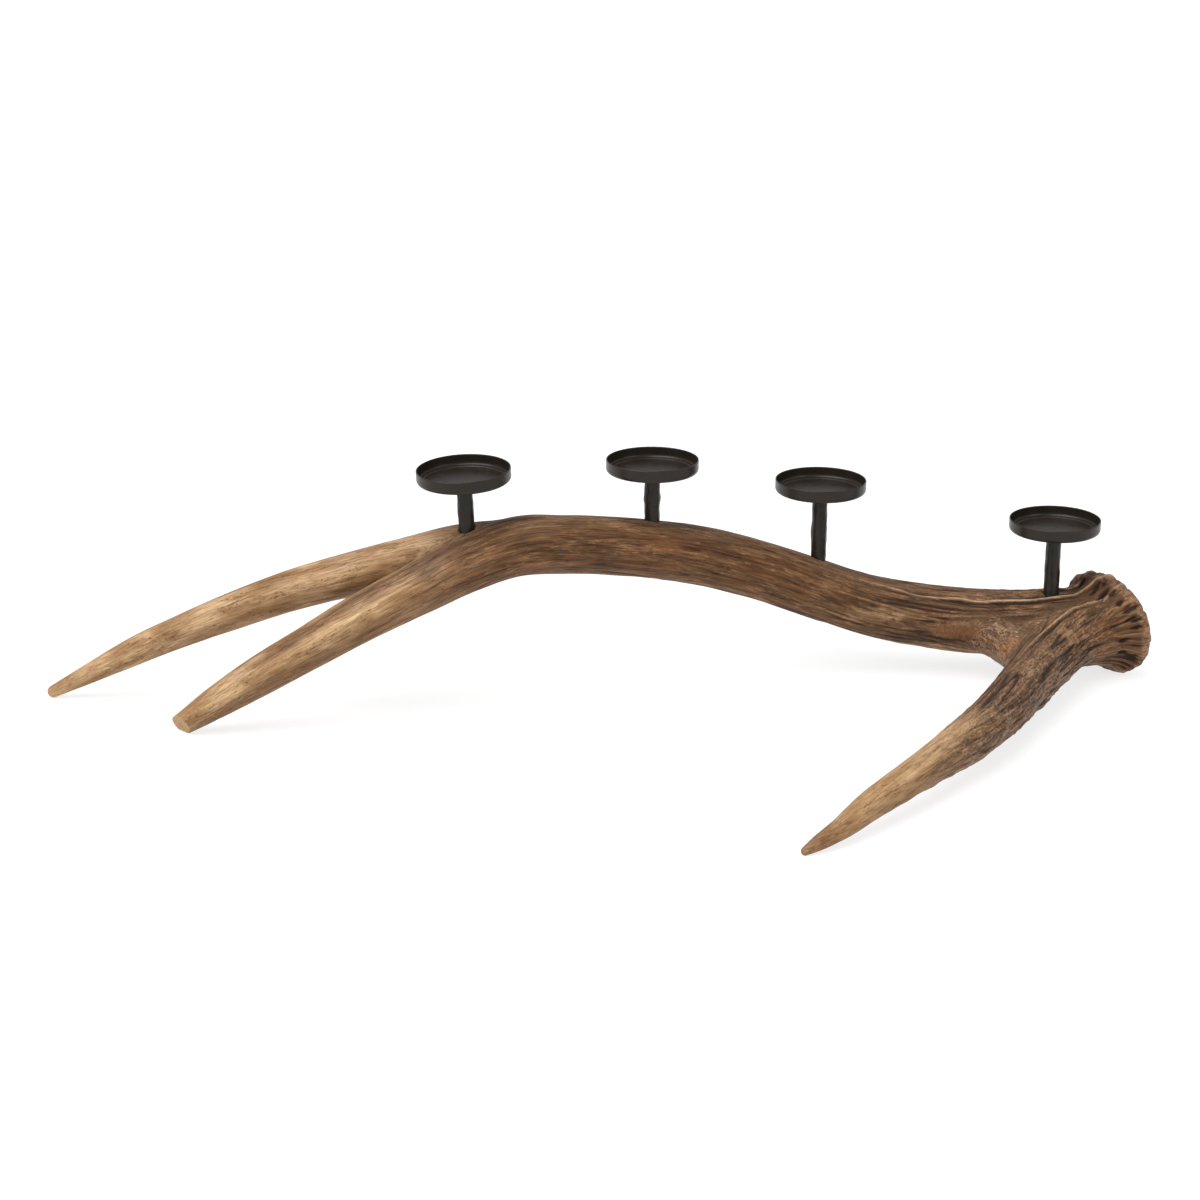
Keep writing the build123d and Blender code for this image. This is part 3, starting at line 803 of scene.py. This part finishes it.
def thread_rings(cup, bottom, top):
    """A helical thread: the radius falls by depth times |2u - 1|, cut flat at crest and root, where u is the part of a
    turn left over from height / pitch - angle / full turn. Near both ends it runs out at the root's radius."""
    height = np.arange(bottom, top + 0.01, THREAD_PITCH / 6)
    rings = turned_rings(cup, np.stack([height, np.ones(len(height))], axis=1), ROD_SEGMENTS)
    centre = POST_FOOT[cup] + height[:, None] * POST_AXIS[cup]
    angle = np.linspace(0, 2 * np.pi, ROD_SEGMENTS, endpoint=False)
    part = (height[:, None] / THREAD_PITCH - angle / (2 * np.pi)) % 1
    cut = np.clip(np.abs(2 * part - 1) * 1.3 - 0.15, 0, 1)
    end = np.minimum(height - bottom, top - height)
    lead = np.clip(1 - end / THREAD_FADE, 0, 1)
    scale = ROD_RADIUS - THREAD_DEPTH * np.maximum(cut, lead[:, None])
    return centre[:, None] + (rings - centre[:, None]) * scale[..., None]


def zinc_plated_steel():
    """Cold-rolled steel with bright zinc plate: a metal with a soft grey shine and slight clouding."""
    made, tree, shader = new_material("zinc_plated_steel")
    place = add_node(tree, "TexCoord", output="Object")
    clouding = add_node(tree, "TexNoise", {"Vector": place, "Scale": 1 / (2.5 * MM), "Detail": 2})
    tone = add_node(tree, "Mix", {0: clouding, 6: linear("#a9abad"), 7: linear("#c9cbcc")}, 2, data_type="RGBA")
    shine = add_node(tree, "MapRange", [clouding, 0, 1, 0.24, 0.4])
    set_inputs(shader, {"Base Color": tone, "Roughness": shine, "Metallic": 1})
    return made


zinc = zinc_plated_steel()
for cup in range(4):
    bottom, top = 0.1 - ROD_HOLE_DEPTH, POST_LENGTH[cup] - ROD_SHORT
    ends = POST_FOOT[cup] + bottom * POST_AXIS[cup], POST_FOOT[cup] + top * POST_AXIS[cup]
    rod = closed_mesh(f"rod_{cup + 1}", thread_rings(cup, bottom, top), ends)
    rod.data.materials.append(zinc)
    placed(rod, "antler", "zinc_steel", f"threaded_rod_{cup + 1}")

# ==== Posts ====
# Short lengths of steel tube, hammered hot so that they look like twigs, then painted satin black. Each slips over
# its rod and stands in a counterbore in the antler.

POST_RADIUS = 6.2
POST_BORE = 5.05
POST_CHAMFER = 0.4
POST_SEGMENTS = 72
HAMMERING = 0.42    # how far a blow moves the skin, mm
KNOTS = [(0.45, 0.3, 6), (0.5, 0.75, 4), (0.42, 0.45, 8), (0.3, 0.2, 10)]    # share of height, swell and spread in mm


def post_rings(cup):
    """A tube as one closed outline, up the outside and down the bore. Outside, the radius waves with a noise of length
    and angle, drawn out along the post, and is calm in the seat and under the pan."""
    length = POST_LENGTH[cup]
    outside = np.concatenate([[0.0, POST_CHAMFER], np.arange(1.2, length - 1, 0.8), [length - POST_CHAMFER, length]])
    radius = np.full(len(outside), POST_RADIUS)
    radius[[0, -1]] -= POST_CHAMFER
    height = np.concatenate([outside, [length, 0.0]])
    radius = np.concatenate([radius, [POST_BORE, POST_BORE]])
    rings = turned_rings(cup, np.stack([height, radius], axis=1), POST_SEGMENTS)
    angle = np.linspace(0, 2 * np.pi, POST_SEGMENTS, endpoint=False)
    h, a = np.broadcast_arrays(height[:, None], angle)
    blows = noise(np.stack([h / 11, 1.1 * np.cos(a), 1.1 * np.sin(a)], axis=-1).reshape(-1, 3), 300 + cup)
    dents = noise(np.stack([h / 5, 2.4 * np.cos(a), 2.4 * np.sin(a)], axis=-1).reshape(-1, 3), 310 + cup)
    wave = (blows + 0.45 * dents).reshape(h.shape) * HAMMERING
    middle, swell, spread = KNOTS[cup]
    wave += swell * np.exp(-((h - middle * length) / spread)**2)
    calm = step_up(h, 3.2, 6.5) * (1 - step_up(h, length - 4, length - 1.5))
    calm[len(outside):] = 0
    centre = POST_FOOT[cup] + height[:, None] * POST_AXIS[cup]
    return centre[:, None] + (rings - centre[:, None]) * (1 + (wave * calm / radius[:, None]))[..., None]


def satin_black_paint():
    """Black enamel on steel, baked satin: near black with a trace of brown, slightly uneven, with a soft wide shine
    and a fine orange peel. Its clouds are 11 mm wide and the peel 1.1 mm."""
    made, tree, shader = new_material("satin_black_paint")
    place = add_node(tree, "TexCoord", output="Object")
    patch = add_node(tree, "TexNoise", {"Vector": place, "Scale": 90, "Detail": 3})
    peel = add_node(tree, "TexNoise", {"Vector": place, "Scale": 900, "Detail": 2})
    tone = add_node(tree, "Mix", {0: patch, 6: linear("#1b1712"), 7: linear("#272019")}, 2, data_type="RGBA")
    shine = add_node(tree, "MapRange", [patch, 0.3, 0.7, 0.26, 0.38])
    bump = add_node(tree, "Bump", {"Height": peel, "Strength": 0.25, "Distance": 0.2 * MM})
    set_inputs(shader, {"Base Color": tone, "Roughness": shine, "Specular IOR Level": 0.25, "Normal": bump})
    return made


black = satin_black_paint()
for cup in range(4):
    rings = post_rings(cup)
    post = new_object(f"hammered_post_{cup + 1}", rings.reshape(-1, 3), ring_quads(rings, joined=True))
    post.data.materials.append(black)
    placed(post, f"post_{cup + 1}", "black_steel", f"post_{cup + 1}")

# ==== Pan nuts ====
# Round M6 weld nuts in zinc-plated steel, welded under the pan floors inside the tops of the posts. The CAD's own
# nuts have the right shape, and get the plating.

for cup in range(4):
    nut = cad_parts[f"pan_nut_{cup + 1}"]
    nut.data.materials.clear()
    nut.data.materials.append(zinc)

# ==== Candle pans ====
# Shallow pans pressed from 1 mm sheet steel and painted satin black. The floor turns up into the wall with a wide
# round, and the rim is plain, with its sharp edge taken off.

PAN_HEIGHT = 10.5
PAN_SHEET = 1.0
# height over the underside and radius, mm: out from the middle of the underside, up the wall, over the rim and back
PAN_OUTLINE = np.array([
    (0, 0.8), (0, 8), (0, 16), (0, 24), (0, 31.5), (0, 33.4), (0.25, 34.9), (0.85, 36.0), (1.8, 36.7), (3.0, 37),
    (4.8, 37), (7, 37), (9.2, 37), (10.1, 36.98), (10.4, 36.8), (PAN_HEIGHT, 36.5), (10.4, 36.2), (10.1, 36.02),
    (9.2, 36), (7, 36), (4.8, 36), (3.6, 35.85), (2.7, 35.4), (2.15, 34.7), (2.0, 33.9), (1.9, 33.2), (1.62, 32.75),
    (1.25, 32.45), (1.05, 32.0), (PAN_SHEET, 31.3), (PAN_SHEET, 24), (PAN_SHEET, 16), (PAN_SHEET, 8), (PAN_SHEET, 0.8),
])

for cup in range(4):
    outline = smooth_outline(PAN_OUTLINE, 0.6)
    outline[:, 0] = np.clip(outline[:, 0], 0, PAN_HEIGHT)
    outline[:, 0] += POST_LENGTH[cup]
    ends = [POST_FOOT[cup] + (POST_LENGTH[cup] + up) * POST_AXIS[cup] for up in (0, PAN_SHEET)]
    pan = closed_mesh(f"pressed_pan_{cup + 1}", turned_rings(cup, outline, 128), ends)
    pan.data.materials.append(black)
    placed(pan, f"cup_{cup + 1}", "black_steel", f"pan_{cup + 1}")

# ==== Table, light and camera ====
# A white studio sweep under a wide soft light from the upper left and an even white surround, with a softer box at the
# right for the shine on the black steel. The camera stands at the photograph's height and distance.

bpy.ops.mesh.primitive_plane_add(size=80, location=(0, 0, -0.0002))
table = bpy.context.object
table.name = "table"
table_paint, tree, shader = new_material("matt_white_paper")
table_place = add_node(tree, "TexCoord", output="Object")
tooth = add_node(tree, "TexNoise", {"Vector": table_place, "Scale": 900, "Detail": 2})
shade = add_node(tree, "Mix", {0: tooth, 6: linear("#8c8c8b"), 7: linear("#949493")}, 2, data_type="RGBA")
set_inputs(shader, {"Base Color": shade, "Roughness": 0.85, "Specular IOR Level": 0.1,
                    "Emission Color": linear("#ffffff"), "Emission Strength": 0.75})
table.data.materials.append(table_paint)

world = bpy.data.worlds.new("studio")
bpy.context.scene.world = world
world.use_nodes = True
set_inputs(world.node_tree.nodes["Background"], {"Color": linear("#fbfcff"), "Strength": 0.62})


def soft_light(name, kind, location, target, power, size):
    """A lamp that faces a target point: a square soft box of this size in metres, or a wide sky light of this angle."""
    lamp = bpy.data.lights.new(name, kind)
    lamp.energy = power
    if kind == "AREA":
        lamp.size = size
    else:
        lamp.angle = np.radians(size)
    made = bpy.data.objects.new(name, lamp)
    bpy.context.scene.collection.objects.link(made)
    made.location = location
    made.rotation_euler = Vector(np.subtract(target, location)).to_track_quat("-Z", "Y").to_euler()


soft_light("upper_left_sky", "SUN", (-1.1, -0.9, 2.3), (0, 0, 0), 3.4, 55)
soft_light("right_box", "AREA", (1.7, -1.0, 1.1), (0.1, 0.1, 0.08), 7, 1.0)

camera = bpy.data.cameras.new("camera")
camera.lens = 72
camera.sensor_width = 36
viewer = bpy.data.objects.new("camera", camera)
bpy.context.scene.collection.objects.link(viewer)
viewer.location = (-0.00173, -1.72145, 0.715)
viewer.rotation_euler = (np.radians(70.9), 0, 0)
bpy.context.scene.camera = viewer
bpy.context.scene.view_settings.view_transform = "Standard"
